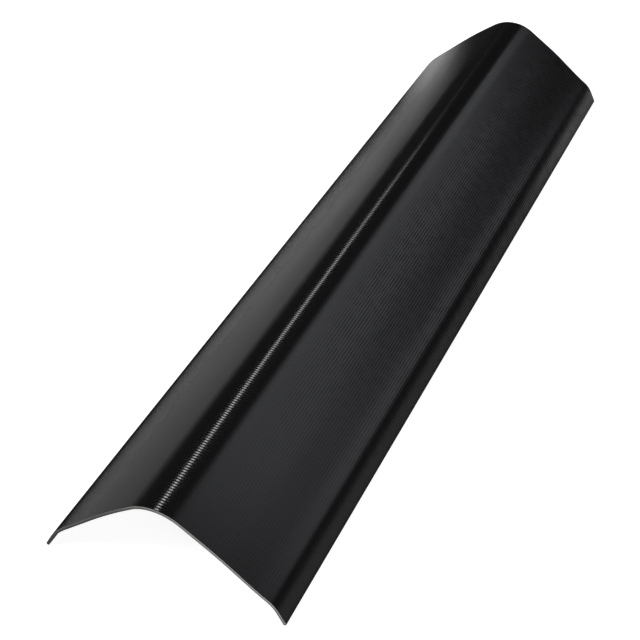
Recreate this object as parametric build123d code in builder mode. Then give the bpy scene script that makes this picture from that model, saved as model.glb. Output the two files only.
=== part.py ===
from build123d import *
import math
import os

# Verge flashing: one pressed black sheet that caps the sloping edge of a roof.
# The section is the same over the whole length. A wide and a narrow flange meet over a round ridge. The edge of the
# wide flange curls down into a lip, and the edge of the narrow one is folded down more tightly.
# X runs across, Y along the length, Z up. It lies as it rests on a floor, on the edges of both lips.

LENGTH = 1000.0
SHEET = 3.5                # thickness of the sheet
LIP_EDGE_ROUND = 1.5       # softened long edges of the lips
END_EDGE_ROUND = 1.0       # softened edges of the two cut ends

# Radii are those of the upper face, turns are in degrees.
WIDE_LIP_WIDTH = 16.0      # straight stretch of the lip on the wide flange
CURL_RADIUS = 82.0         # curl from this lip to the flange
CURL_TURN = 19.5
WIDE_FLAT_WIDTH = 48.5     # flat stretch of the wide flange
WIDE_EASE_RADIUS = 560.0   # slack curve from the flat up to the ridge
WIDE_EASE_TURN = 6.5

RIDGE_RADIUS = 48.0        # crown of the ridge
RIDGE_TURN = 69.5

SHOULDER_WIDTH = 30.0      # straight stretch of the narrow flange next to the ridge
NARROW_EASE_RADIUS = 360.0 # slack curve from the shoulder down to the flat
NARROW_EASE_TURN = 4.7
NARROW_FLAT_WIDTH = 24.0   # flat stretch of the narrow flange
RISE_RADIUS = 280.0        # slight upward curve of this flange before its fold
RISE_TURN = 4.5
FOLD_RADIUS = 34.0         # fold from the flange to its lip
FOLD_TURN = 29.0
NARROW_LIP_WIDTH = 16.0    # straight stretch of the lip on the narrow flange

# Heading of the wide lip in the drawing, which puts the middle of the crown level.
LIP_HEADING = CURL_TURN + WIDE_EASE_TURN + RIDGE_TURN / 2

# Upper face of the section from the wide lip's edge to the narrow lip's edge, every stretch tangent to the next.
with BuildLine() as upper_face:
    wide_lip = PolarLine((0, 0), WIDE_LIP_WIDTH, LIP_HEADING)
    wide_curl = JernArc(wide_lip @ 1, wide_lip % 1, CURL_RADIUS, -CURL_TURN)
    wide_flat = PolarLine(wide_curl @ 1, WIDE_FLAT_WIDTH, direction=wide_curl % 1)
    wide_ease = JernArc(wide_flat @ 1, wide_flat % 1, WIDE_EASE_RADIUS, -WIDE_EASE_TURN)
    crown = JernArc(wide_ease @ 1, wide_ease % 1, RIDGE_RADIUS, -RIDGE_TURN)
    shoulder = PolarLine(crown @ 1, SHOULDER_WIDTH, direction=crown % 1)
    narrow_ease = JernArc(shoulder @ 1, shoulder % 1, NARROW_EASE_RADIUS, -NARROW_EASE_TURN)
    narrow_flat = PolarLine(narrow_ease @ 1, NARROW_FLAT_WIDTH, direction=narrow_ease % 1)
    narrow_rise = JernArc(narrow_flat @ 1, narrow_flat % 1, RISE_RADIUS, RISE_TURN)
    narrow_fold = JernArc(narrow_rise @ 1, narrow_rise % 1, FOLD_RADIUS, -FOLD_TURN)
    narrow_lip = PolarLine(narrow_fold @ 1, NARROW_LIP_WIDTH, direction=narrow_fold % 1)

# Each lip stands on the rounded underside corner of its edge. The line through the centres of both
# roundings is made level.
wide_inward = wide_lip % 0
wide_under = wide_inward.rotate(Axis.Z, -90)
wide_edge = wide_lip @ 0 + wide_inward * LIP_EDGE_ROUND
wide_foot = wide_edge + wide_under * (SHEET - LIP_EDGE_ROUND)
narrow_inward = -(narrow_lip % 1)
narrow_under = narrow_inward.rotate(Axis.Z, 90)
narrow_edge = narrow_lip @ 1 + narrow_inward * LIP_EDGE_ROUND
narrow_foot = narrow_edge + narrow_under * (SHEET - LIP_EDGE_ROUND)
lean = math.atan2(narrow_foot.Y - wide_foot.Y, narrow_foot.X - wide_foot.X)
across = Vector(math.cos(lean), 0, -math.sin(lean))
upright = Vector(math.sin(lean), 0, math.cos(lean))

# The footprint runs between the rounded upper corners of both lips; its middle is the origin.
wide_side = wide_edge + wide_under * LIP_EDGE_ROUND
narrow_side = narrow_edge + narrow_under * LIP_EDGE_ROUND
middle = (wide_side + narrow_side) / 2
side_shift = across.X * middle.X + upright.X * middle.Y
floor_level = across.Z * wide_foot.X + upright.Z * wide_foot.Y - LIP_EDGE_ROUND
resting = Plane(origin=(-side_shift, 0, -floor_level), x_dir=across, z_dir=(0, -1, 0))

with BuildPart() as verge_flashing:
    with BuildSketch(resting) as section:
        with BuildLine() as outline:
            add(upper_face.line)
            offset(amount=SHEET, side=Side.RIGHT)
        make_face()
        lip_corners = [
            corner
            for lip_end in (wide_lip @ 0, narrow_lip @ 1)
            for corner in vertices().sort_by_distance(lip_end)[:2]
        ]
        fillet(lip_corners, radius=LIP_EDGE_ROUND)
    extrude(amount=LENGTH / 2, both=True)
    fillet(faces().sort_by(Axis.Y)[0].edges() + faces().sort_by(Axis.Y)[-1].edges(), radius=END_EDGE_ROUND)

verge_flashing.part.label = "verge_flashing"
os.makedirs("parts", exist_ok=True)
export_step(verge_flashing.part, "parts/verge_flashing.step")
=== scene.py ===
import math

import bmesh
import bpy
import numpy as np
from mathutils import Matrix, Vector


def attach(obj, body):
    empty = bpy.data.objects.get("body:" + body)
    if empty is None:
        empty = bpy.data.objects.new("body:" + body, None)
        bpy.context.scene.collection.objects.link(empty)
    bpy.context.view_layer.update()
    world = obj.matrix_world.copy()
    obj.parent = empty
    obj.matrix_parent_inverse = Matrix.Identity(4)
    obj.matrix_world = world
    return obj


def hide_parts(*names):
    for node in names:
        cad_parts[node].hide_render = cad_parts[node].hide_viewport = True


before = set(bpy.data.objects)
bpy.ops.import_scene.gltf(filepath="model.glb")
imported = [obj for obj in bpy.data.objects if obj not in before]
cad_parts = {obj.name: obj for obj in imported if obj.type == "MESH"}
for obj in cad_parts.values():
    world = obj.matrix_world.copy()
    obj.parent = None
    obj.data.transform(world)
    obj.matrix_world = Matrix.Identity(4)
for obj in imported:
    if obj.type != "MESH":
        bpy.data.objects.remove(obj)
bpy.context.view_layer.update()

# The flashing: one black sheet, pressed warm into a long rounded angle with a short lip along each free edge.
# It is drawn the way the press forms it, stretch by stretch from the wide lip over the ridge to the narrow
# lip, and then run out to its length. Its flanges are nearly flat, with a slack curve here and there.
LENGTH = 1.0
SHEET = 0.0035
LIP_EDGE_ROUND = 0.0015
END_EDGE_ROUND = 0.001
WIDE_LIP, CURL_RADIUS, CURL_TURN = 0.016, 0.082, 19.5
WIDE_FLAT, WIDE_EASE_RADIUS, WIDE_EASE_TURN = 0.0485, 0.560, 6.5
RIDGE_RADIUS, RIDGE_TURN = 0.048, 69.5
SHOULDER, NARROW_EASE_RADIUS, NARROW_EASE_TURN = 0.030, 0.360, 4.7
NARROW_FLAT, RISE_RADIUS, RISE_TURN = 0.024, 0.280, 4.5
FOLD_RADIUS, FOLD_TURN, NARROW_LIP = 0.034, 29.0, 0.016

# The stretches after the wide lip: a straight length, or a radius on the upper face with its downward turn in
# degrees, both negative where the sheet curves up. The last number of each is its number of steps.
STRETCHES = [
    ("turn", CURL_RADIUS, CURL_TURN, 12),
    ("straight", WIDE_FLAT, 6),
    ("turn", WIDE_EASE_RADIUS, WIDE_EASE_TURN, 10),
    ("turn", RIDGE_RADIUS, RIDGE_TURN, 40),
    ("straight", SHOULDER, 4),
    ("turn", NARROW_EASE_RADIUS, NARROW_EASE_TURN, 8),
    ("straight", NARROW_FLAT, 4),
    ("turn", -RISE_RADIUS, -RISE_TURN, 8),
    ("turn", FOLD_RADIUS, FOLD_TURN, 16),
    ("straight", NARROW_LIP, 4),
]


def along(heading):
    return Vector((math.cos(heading), 0.0, math.sin(heading)))


def under(heading):
    return Vector((math.sin(heading), 0.0, -math.cos(heading)))


def after(stretch, pen, heading):
    """Where the upper face ends, and which way it heads there, after one stretch."""
    if stretch[0] == "straight":
        return pen + along(heading) * stretch[1], heading
    centre = pen + under(heading) * stretch[1]
    heading -= math.radians(stretch[2])
    return centre - under(heading) * stretch[1], heading


def section_end(pen, heading):
    for stretch in [("straight", WIDE_LIP)] + STRETCHES:
        pen, heading = after(stretch, pen, heading)
    return pen, heading


def lip_corner(edge, heading, inward, depth):
    """Centre of a rounding of a lip's edge; inward is 1 at the wide lip and -1 at the narrow one."""
    return edge + along(heading) * inward * LIP_EDGE_ROUND + under(heading) * depth


# Both lips stand on the floor: the centres of their lower roundings are level.
FOOT_DEPTH = SHEET - LIP_EDGE_ROUND
tip, tip_heading = section_end(Vector(), 0.0)
step = lip_corner(tip, tip_heading, -1, FOOT_DEPTH) - lip_corner(Vector(), 0.0, 1, FOOT_DEPTH)
start_heading = -math.atan2(step.z, step.x)
tip, tip_heading = section_end(Vector(), start_heading)
wide_side = lip_corner(Vector(), start_heading, 1, LIP_EDGE_ROUND)
narrow_side = lip_corner(tip, tip_heading, -1, LIP_EDGE_ROUND)
floor_level = lip_corner(Vector(), start_heading, 1, FOOT_DEPTH).z - LIP_EDGE_ROUND
start = Vector((-(wide_side.x + narrow_side.x) / 2, -LENGTH / 2, -floor_level))

# The wide lip's straight stretch is the plane that the rest of the section is drawn on from.
SAME_POINT = 1e-6
bpy.ops.object.select_all(action="DESELECT")
bpy.ops.mesh.primitive_plane_add(
    size=1.0,
    location=start + along(start_heading) * WIDE_LIP / 2 + under(start_heading) * SHEET / 2,
    rotation=(math.pi / 2, -start_heading, 0.0),
)
sheet = bpy.context.object
sheet.name = "sheet"
sheet.scale = (WIDE_LIP, SHEET, 1.0)
bpy.ops.object.transform_apply(location=True, rotation=True, scale=True)
bpy.ops.object.mode_set(mode="EDIT")
bpy.ops.mesh.select_mode(type="EDGE")
bpy.ops.mesh.select_all(action="DESELECT")
mesh = bmesh.from_edit_mesh(sheet.data)
pen, heading = after(("straight", WIDE_LIP), start, start_heading)
for edge in mesh.edges:
    middle = (edge.verts[0].co + edge.verts[1].co) / 2
    edge.select_set((middle - pen - under(heading) * SHEET / 2).length < SHEET / 10)
bmesh.update_edit_mesh(sheet.data)
for stretch in STRETCHES:
    steps = stretch[-1]
    if stretch[0] == "straight":
        for part in range(steps):
            bpy.ops.mesh.extrude_region_move(
                TRANSFORM_OT_translate={"value": along(heading) * stretch[1] / steps}
            )
    else:
        bpy.ops.mesh.spin(
            steps=steps,
            angle=-math.radians(stretch[2]),
            center=pen + under(heading) * stretch[1],
            axis=(0, 1, 0),
        )
    pen, heading = after(stretch, pen, heading)
bpy.ops.mesh.select_all(action="SELECT")
bpy.ops.mesh.remove_doubles(threshold=SAME_POINT)
bpy.ops.mesh.extrude_region_move(TRANSFORM_OT_translate={"value": (0, LENGTH, 0)})
bpy.ops.mesh.select_all(action="SELECT")
bpy.ops.mesh.normals_make_consistent(inside=False)
bpy.ops.object.mode_set(mode="OBJECT")

# Cutting and handling soften the edges: first the long edges of both lips, then the rims of the two ends.
SHARP_ANGLE = math.radians(60)
SMOOTH_ANGLE = math.radians(35)


def round_edges(wanted, radius, segments):
    bpy.ops.object.mode_set(mode="EDIT")
    bpy.ops.mesh.select_all(action="DESELECT")
    mesh = bmesh.from_edit_mesh(sheet.data)
    mesh.normal_update()
    for edge in mesh.edges:
        edge.select_set(wanted(edge))
    bmesh.update_edit_mesh(sheet.data)
    bpy.ops.mesh.bevel(offset=radius, segments=segments, profile=0.5, affect="EDGES")
    bpy.ops.object.mode_set(mode="OBJECT")


def is_lip_edge(edge):
    runs_along = abs(edge.verts[0].co.y - edge.verts[1].co.y) > LENGTH / 2
    return runs_along and edge.calc_face_angle(0.0) > SHARP_ANGLE


def is_end_rim(edge):
    at_end = all(abs(abs(v.co.y) - LENGTH / 2) < SAME_POINT for v in edge.verts)
    return at_end and edge.calc_face_angle(0.0) > SHARP_ANGLE


round_edges(is_lip_edge, LIP_EDGE_ROUND, segments=5)
round_edges(is_end_rim, END_EDGE_ROUND, segments=4)
bpy.ops.object.shade_smooth_by_angle(angle=SMOOTH_ANGLE)

# The grain follows the sheet, so every point keeps how far round the section it lies, from the wide lip's
# edge, and how deep in the sheet. Seen from the middle of the footprint the section is a fan, in order.
WIDE_LIP_STEPS = 4
outline = []
pen, heading = start, start_heading
for stretch in [("straight", WIDE_LIP, WIDE_LIP_STEPS)] + STRETCHES:
    steps = stretch[-1]
    if stretch[0] == "straight":
        share = ("straight", stretch[1] / steps)
    else:
        share = ("turn", stretch[1], stretch[2] / steps)
    for part in range(steps):
        outline.append((pen.copy(), heading))
        pen, heading = after(share, pen, heading)
outline.append((pen.copy(), heading))
upper = np.array([(point.x, point.z) for point, _ in outline])
lower = np.array([(p.x, p.z) for p in (point + under(h) * SHEET for point, h in outline)])
round_section = np.concatenate([[0.0], np.cumsum(np.linalg.norm(np.diff(upper, axis=0), axis=1))])
points = np.array([(v.co.x, v.co.z) for v in sheet.data.vertices])
fan = np.arctan2(points[:, 0], points[:, 1])
fan_upper = np.arctan2(upper[:, 0], upper[:, 1])
fan_lower = np.arctan2(lower[:, 0], lower[:, 1])
reach = np.hypot(points[:, 0], points[:, 1])
reach_upper = np.interp(fan, fan_upper, np.hypot(upper[:, 0], upper[:, 1]))
reach_lower = np.interp(fan, fan_lower, np.hypot(lower[:, 0], lower[:, 1]))
girth = sheet.data.attributes.new("girth", "FLOAT", "POINT")
girth.data.foreach_set("value", np.interp(fan, fan_upper, round_section))
depth = sheet.data.attributes.new("depth", "FLOAT", "POINT")
depth.data.foreach_set("value", np.clip((reach_upper - reach) / (reach_upper - reach_lower), 0.0, 1.0))

# Black sheet: satin, with the square grain that the press's wire mesh leaves on the upper face: a swell in
# every cell, and a duller groove where each wire lay. The mesh bites deepest over the ridge, where the sheet
# is drawn tight and polished, and shows there as ribs. A faint bead runs before the fold.
BLACK = (0.0055, 0.0055, 0.0058, 1.0)
BLACK_IOR = 1.5
FULL_GLOSS = 0.5                         # specular level between the grooves
GRAIN_PITCH = 0.0032
GRAIN_RELIEF = 0.0001
SWELL_POWER = 4.0                        # the higher, the flatter the middle of a cell
RIB_FOOT, LINE_FOOT = (0.88, 0.99), (0.75, 0.97)  # share of a swell's height over which its groove ends
FLAT_BITE = 0.3                          # relief on the flanges, as a share of that on the ridge
RIDGE_PLACE, RIDGE_REACH = 0.185, 0.022  # girth of the ridge's middle, and how far round the ribs reach
RIDGE_RIBS, FLANGE_RIBS = 0.96, 0.08     # how dull the grooves across the sheet are
WIDE_LINES, NARROW_LINES = 0.12, 0.9     # how dull the lengthwise grooves are on the wide and narrow flange
LINES_CHANGE = (0.20, 0.24)              # girth over which the one goes over into the other
LINES_FADE = (-0.45, 0.0)                # length over which these grooves grow from the near end
NEAR_LINES = 0.2                         # what is left of them at the near end
WEAR_SPAN, PATCHY_LINES = (0.35, 0.65), (0.68, 1.05)  # what patches of wear make of them
GLOSS_SPAN, RIDGE_DULLNESS = (0.3, 0.7), (0.14, 0.17)  # roughness of the ridge, uneven in patches
LIP_DULLER, FLANGE_DULLER = 0.05, 0.14   # added on the wide lip, and on the flanges
CURL_SPAN = (0.055, 0.10)                # girth over which the one goes over into the other
BEAD_RISE, BEAD_FALL, BEAD_HEIGHT = (0.307, 0.324), (0.324, 0.336), 0.00045
WAVE_HEIGHT = 0.0006
LONG_PATCHES = (1.0, 0.35, 1.0)          # unevenness is drawn out along the length
MID_DEPTH = 0.5                          # middle of the sheet's thickness
black = bpy.data.materials.new("black_sheet")
black.use_nodes = True
nodes, links = black.node_tree.nodes, black.node_tree.links
shader = nodes["Principled BSDF"]
shader.inputs["Base Color"].default_value = BLACK
shader.inputs["IOR"].default_value = BLACK_IOR


def math_node(operation, first, second=None, third=None):
    """Result of one sum on numbers and sockets, in the material at hand."""
    node = nodes.new("ShaderNodeMath")
    node.operation = operation
    for socket, value in zip(node.inputs, (first, second, third)):
        if isinstance(value, (int, float)):
            socket.default_value = value
        elif value is not None:
            links.new(value, socket)
    return node.outputs[0]


def product(first, *others):
    for other in others:
        first = math_node("MULTIPLY", first, other)
    return first


def fade(value, span, levels):
    """Level that goes over smoothly from the first to the second while a value runs through a span."""
    node = nodes.new("ShaderNodeMapRange")
    node.interpolation_type = "SMOOTHSTEP"
    for socket, number in zip(("From Min", "From Max", "To Min", "To Max"), (*span, *levels)):
        node.inputs[socket].default_value = number
    links.new(value, node.inputs["Value"])
    return node.outputs["Result"]


def attribute(name):
    node = nodes.new("ShaderNodeAttribute")
    node.attribute_name = name
    return node.outputs["Fac"]


def swell(place):
    """Height over one cell of the grain, highest in its middle, for a place counted in metres."""
    across_cell = math_node("FRACT", math_node("DIVIDE", place, GRAIN_PITCH))
    from_middle = math_node("ABSOLUTE", math_node("MULTIPLY_ADD", across_cell, 2.0, -1.0))
    return math_node("SUBTRACT", 1.0, math_node("POWER", from_middle, SWELL_POWER))


def cloud(place, scale, detail):
    node = nodes.new("ShaderNodeTexNoise")
    node.inputs["Scale"].default_value = scale
    node.inputs["Detail"].default_value = detail
    links.new(place, node.inputs["Vector"])
    return node.outputs["Fac"]


girth_value = attribute("girth")
place_node = nodes.new("ShaderNodeTexCoord")
place = place_node.outputs["Object"]
split = nodes.new("ShaderNodeSeparateXYZ")
links.new(place, split.inputs[0])
lengthwise = split.outputs["Y"]
from_ridge = math_node("DIVIDE", math_node("SUBTRACT", girth_value, RIDGE_PLACE), RIDGE_REACH)
off_ridge = math_node("MINIMUM", math_node("MULTIPLY", from_ridge, from_ridge), 1.0)
upper_side = math_node("LESS_THAN", attribute("depth"), MID_DEPTH)

# Swells of the grain.
ribs = swell(lengthwise)
lines = swell(girth_value)
rib_height = product(ribs, math_node("MULTIPLY_ADD", off_ridge, FLAT_BITE - 1.0, 1.0))
line_height = product(lines, off_ridge, FLAT_BITE)
grain_height = product(math_node("ADD", rib_height, line_height), upper_side)

# Dull grooves between them.
rib_dullness = math_node("MULTIPLY_ADD", off_ridge, FLANGE_RIBS - RIDGE_RIBS, RIDGE_RIBS)
rib_groove = product(fade(ribs, RIB_FOOT, (1.0, 0.0)), rib_dullness)
line_dullness = product(
    fade(girth_value, LINES_CHANGE, (WIDE_LINES, NARROW_LINES)),
    fade(lengthwise, LINES_FADE, (NEAR_LINES, 1.0)),
    fade(cloud(place, scale=90.0, detail=2.0), WEAR_SPAN, PATCHY_LINES),
    off_ridge,
)
line_groove = product(fade(lines, LINE_FOOT, (1.0, 0.0)), line_dullness)
groove = product(math_node("MAXIMUM", rib_groove, line_groove), upper_side)
links.new(math_node("MULTIPLY_ADD", groove, -FULL_GLOSS, FULL_GLOSS), shader.inputs["Specular IOR Level"])

# Gloss, a little uneven.
stretched = nodes.new("ShaderNodeMapping")
stretched.inputs["Scale"].default_value = LONG_PATCHES
links.new(place, stretched.inputs["Vector"])
long_place = stretched.outputs["Vector"]
dullness = fade(cloud(long_place, scale=22.0, detail=4.0), GLOSS_SPAN, RIDGE_DULLNESS)
flange_dullness = product(off_ridge, fade(girth_value, CURL_SPAN, (LIP_DULLER, FLANGE_DULLER)))
links.new(math_node("ADD", dullness, flange_dullness), shader.inputs["Roughness"])

# Slack waves and the bead, with the grain on top.
bead = product(fade(girth_value, BEAD_RISE, (0.0, 1.0)), fade(girth_value, BEAD_FALL, (1.0, 0.0)))
waves = product(cloud(long_place, scale=9.0, detail=1.0), WAVE_HEIGHT)
uneven = nodes.new("ShaderNodeBump")
uneven.inputs["Distance"].default_value = 1.0
links.new(math_node("MULTIPLY_ADD", bead, BEAD_HEIGHT, waves), uneven.inputs["Height"])
relief = nodes.new("ShaderNodeBump")
relief.inputs["Distance"].default_value = GRAIN_RELIEF
links.new(grain_height, relief.inputs["Height"])
links.new(uneven.outputs["Normal"], relief.inputs["Normal"])
links.new(relief.outputs["Normal"], shader.inputs["Normal"])
sheet.data.materials.append(black)

# Cut edge: the blade leaves it dull and greyer than the faces, with a darker seam within the sheet.
# Painted shade darkens it along the wide flange, and painted light lifts it a little along the narrow one.
CUT_DULLNESS = 0.7
FACING_END = 0.5                         # a face whose normal runs lengthwise by more than this is cut
UPPER_LAYER, UPPER_DEPTH = (0.30, 0.30, 0.29, 1.0), 0.50
SEAM, SEAM_DEPTH = (0.12, 0.12, 0.115, 1.0), 0.62
LOWER_LAYER, LOWER_DEPTH = (0.34, 0.34, 0.33, 1.0), 0.78
CUT_SHADE_SPAN, CUT_SHADE_SHARE = (0.10, 0.27), (0.38, 1.15)  # girth over which the painted shade on the edge goes over into painted light
cut = bpy.data.materials.new("cut_edge")
cut.use_nodes = True
nodes, links = cut.node_tree.nodes, cut.node_tree.links
shader = nodes["Principled BSDF"]
shader.inputs["Roughness"].default_value = CUT_DULLNESS
layers = nodes.new("ShaderNodeValToRGB")
layers.color_ramp.elements[0].position = UPPER_DEPTH
layers.color_ramp.elements[0].color = UPPER_LAYER
layers.color_ramp.elements[1].position = SEAM_DEPTH
layers.color_ramp.elements[1].color = SEAM
lower_layer = layers.color_ramp.elements.new(LOWER_DEPTH)
lower_layer.color = LOWER_LAYER
links.new(attribute("depth"), layers.inputs["Fac"])
# Painted shade and light: the edge is darkened along the wide flange and lightened a little along the narrow
# one.
cut_painted_shade = nodes.new("ShaderNodeHueSaturation")
links.new(fade(attribute("girth"), CUT_SHADE_SPAN, CUT_SHADE_SHARE), cut_painted_shade.inputs["Value"])
links.new(layers.outputs["Color"], cut_painted_shade.inputs["Color"])
links.new(cut_painted_shade.outputs["Color"], shader.inputs["Base Color"])
sheet.data.materials.append(cut)
for face in sheet.data.polygons:
    if abs(face.normal.y) > FACING_END:
        face.material_index = 1

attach(sheet, "root")
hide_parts("verge_flashing")

# Floor: a plain pale sweep under the flashing. The eye sees it white, with the soft shadow that the flashing
# casts. To everything else its grey is painted light and shade for the sheet to mirror: a painted grey band
# on the left, a pale painted strip on the right, a painted pool of light beyond the far end, a painted shadow
# close to the part, and painted darkness for the room behind.
FLOOR_LEFT, FLOOR_RIGHT, FLOOR_NEAR, FLOOR_FAR = -2.6, 2.2, -1.5, 2.8
SEEN_GREY, SEEN_GLOW = 0.45, 0.88                      # what the eye sees: a grey floor, lifted to white
# Painted light on the left: the floor's grey pales far away and again close to the part.
LEFT_PAINTED_SPAN, LEFT_PAINTED_GREYS = (-1.4, -0.5), (0.52, 0.24)
NEAR_POOL_SPAN, NEAR_POOL_GREY = (-0.38, -0.27), 0.69          # painted pool of light, where the grey pales again close to the part
# Painted shadow close to the part, which narrows along the length.
PAINTED_SHADOW_SPAN, PAINTED_SHADOW_REST, PAINTED_SHADOW_TAPER = (-0.249, -0.230), 0.02, -0.06
# Painted darkness far back, for the unlit room behind.
PAINTED_DARK_SPAN, PAINTED_DARK_REST, PAINTED_DARK_SLANT = (0.30, 0.54), 0.03, -0.55
# Painted light on the right: a pale strip beside the part, paler far back, with a painted shadow at the lip's
# foot.
RIGHT_STRIP_SPAN, RIGHT_STRIP_GREYS, RIGHT_STRIP_TAPER = (0.160, 0.200), (0.50, 0.04), 0.05
RIGHT_FOOT_SHADOW = (0.134, 0.146)
RIGHT_FAR_LIGHT_SPAN, RIGHT_FAR_LIGHT_GAIN = (0.2, 0.45), 2.0
# Painted pool of light beyond the far end.
PATCH_LEFT, PATCH_RIGHT = (-0.285, -0.25), (0.10, 0.16)
PATCH_NEAR, PATCH_FAR = (0.42, 0.60), (0.62, 0.78)
FAR_POOL_GREY = 0.74
bpy.ops.object.select_all(action="DESELECT")
bpy.ops.mesh.primitive_plane_add(
    size=1.0, location=((FLOOR_LEFT + FLOOR_RIGHT) / 2, (FLOOR_NEAR + FLOOR_FAR) / 2, 0.0)
)
floor = bpy.context.object
floor.name = "floor"
floor.scale = (FLOOR_RIGHT - FLOOR_LEFT, FLOOR_FAR - FLOOR_NEAR, 1.0)
bpy.ops.object.transform_apply(location=True, rotation=True, scale=True)
pale = bpy.data.materials.new("pale_floor")
pale.use_nodes = True
nodes, links = pale.node_tree.nodes, pale.node_tree.links
nodes.remove(nodes["Principled BSDF"])
floor_place = nodes.new("ShaderNodeTexCoord")
floor_split = nodes.new("ShaderNodeSeparateXYZ")
links.new(floor_place.outputs["Object"], floor_split.inputs[0])
side, back = floor_split.outputs["X"], floor_split.outputs["Y"]

# Painted light on the left, a painted shadow by the part that narrows along the length, painted dark far
# back.
left_painted_light = math_node("ADD", fade(side, LEFT_PAINTED_SPAN, LEFT_PAINTED_GREYS), fade(side, NEAR_POOL_SPAN, (0.0, NEAR_POOL_GREY)))
painted_shadow = fade(math_node("MULTIPLY_ADD", back, PAINTED_SHADOW_TAPER, side), PAINTED_SHADOW_SPAN, (1.0, PAINTED_SHADOW_REST))
toward_painted_dark = math_node("MULTIPLY_ADD", math_node("ABSOLUTE", side), PAINTED_DARK_SLANT, back)
left_part = product(left_painted_light, painted_shadow, fade(toward_painted_dark, PAINTED_DARK_SPAN, (1.0, PAINTED_DARK_REST)))

# Painted light on the right, only in a strip beside the part and paler far back; a painted shadow at the
# lip's foot.
right_part = product(
    fade(math_node("MULTIPLY_ADD", back, RIGHT_STRIP_TAPER, side), RIGHT_STRIP_SPAN, RIGHT_STRIP_GREYS),
    fade(side, RIGHT_FOOT_SHADOW, (0.0, 1.0)),
    fade(back, RIGHT_FAR_LIGHT_SPAN, (1.0, RIGHT_FAR_LIGHT_GAIN)),
)

# The painted pool of light beyond the far end fades out on all four sides.
painted_far_pool = product(
    fade(side, PATCH_LEFT, (0.0, 1.0)),
    fade(side, PATCH_RIGHT, (FAR_POOL_GREY, 0.0)),
    fade(back, PATCH_NEAR, (0.0, 1.0)),
    fade(back, PATCH_FAR, (1.0, 0.0)),
)
# Only rays other than the eye's see these painted greys; the eye sees an even grey lifted to white.
painted_floor_light = math_node("ADD", math_node("MAXIMUM", left_part, right_part), painted_far_pool)
to_eye = nodes.new("ShaderNodeLightPath").outputs["Is Camera Ray"]
painted_reflection_grey = product(painted_floor_light, math_node("SUBTRACT", 1.0, to_eye))
matt = nodes.new("ShaderNodeBsdfDiffuse")
links.new(math_node("MULTIPLY_ADD", to_eye, SEEN_GREY, painted_reflection_grey), matt.inputs["Color"])
white = nodes.new("ShaderNodeEmission")
links.new(product(to_eye, SEEN_GLOW), white.inputs["Strength"])
both = nodes.new("ShaderNodeAddShader")
links.new(matt.outputs[0], both.inputs[0])
links.new(white.outputs[0], both.inputs[1])
links.new(both.outputs[0], nodes["Material Output"].inputs["Surface"])
floor.data.materials.append(pale)

# Room: white to the eye beyond the floor, as a paper backdrop is.
# To everything else it is dim, as a studio is away from its lamps.
ROOM_GLOW = 0.015
world = bpy.data.worlds.new("studio")
bpy.context.scene.world = world
world.use_nodes = True
nodes, links = world.node_tree.nodes, world.node_tree.links
to_eye = nodes.new("ShaderNodeLightPath").outputs["Is Camera Ray"]
backdrop = nodes["Background"]
backdrop.inputs["Color"].default_value = (1.0, 1.0, 1.0, 1.0)
links.new(math_node("MULTIPLY_ADD", to_eye, 1.0 - ROOM_GLOW, ROOM_GLOW), backdrop.inputs["Strength"])


# Lamps: a wide panel hung behind on the right, which the narrow flange mirrors, a long strip on the left that
# picks out the ribs of the ridge, a low pale wall far on the left, a soft light for the floor, and one in
# front for the near cut edge.
def soft_lamp(name, place, aim, width, height, radiance, spread=180.0, tint=(1.0, 1.0, 1.0), turn=0.0):
    data = bpy.data.lights.new(name, "AREA")
    data.shape = "RECTANGLE"
    data.size, data.size_y = width, height
    data.spread = math.radians(spread)
    data.color = tint
    half = math.radians(spread) / 2
    data.energy = radiance * math.pi * width * height * (1.0 - half / math.tan(half))
    lamp = bpy.data.objects.new(name, data)
    bpy.context.scene.collection.objects.link(lamp)
    lamp.location = place
    lamp.rotation_euler = (Vector(aim) - Vector(place)).to_track_quat("-Z", "Y").to_euler()
    lamp.rotation_euler.rotate_axis("Z", math.radians(turn))


soft_lamp(
    "panel", (1.60, 2.3, 1.56), aim=(1.60, 2.3, 0.0), width=2.45, height=3.8,
    radiance=1.28, spread=162.0, tint=(0.97, 0.985, 1.05), turn=9.5,
)
soft_lamp(
    "ridge_strip", (-0.79, 1.67, 1.56), aim=(-0.79, 1.67, 0.0), width=0.17, height=3.4,
    radiance=16.5, spread=124.0, turn=12.0,
)
soft_lamp("left_wall", (-2.6, 1.6, 0.32), aim=(0.0, 1.6, 0.32), width=2.4, height=0.65, radiance=0.31)
soft_lamp(
    "left_light", (-1.4, -1.15, 1.6), aim=(-0.45, 0.65, 0.0), width=1.2, height=1.0,
    radiance=13.8, spread=140.0,
)
soft_lamp(
    "front_light", (2.2, -1.9, 1.0), aim=(0.0, -0.4, 0.05), width=1.0, height=1.0,
    radiance=14.0, spread=120.0,
)

# Camera: it looks down along the flashing from its near end, on the side of the narrow flange,
# from about a metre and a half away.
CAMERA_PLACE = (0.5522, -1.1325, 0.9691)
CAMERA_TURNS = (50.854, 4.467, 25.354)   # degrees
FOCAL_LENGTH, SENSOR_WIDTH = 73.227, 36.0  # millimetres
lens = bpy.data.cameras.new("camera")
lens.sensor_width = SENSOR_WIDTH
lens.lens = FOCAL_LENGTH
camera = bpy.data.objects.new("camera", lens)
bpy.context.scene.collection.objects.link(camera)
camera.location = CAMERA_PLACE
camera.rotation_euler = [math.radians(angle) for angle in CAMERA_TURNS]
bpy.context.scene.camera = camera
bpy.context.scene.view_settings.view_transform = "Standard"
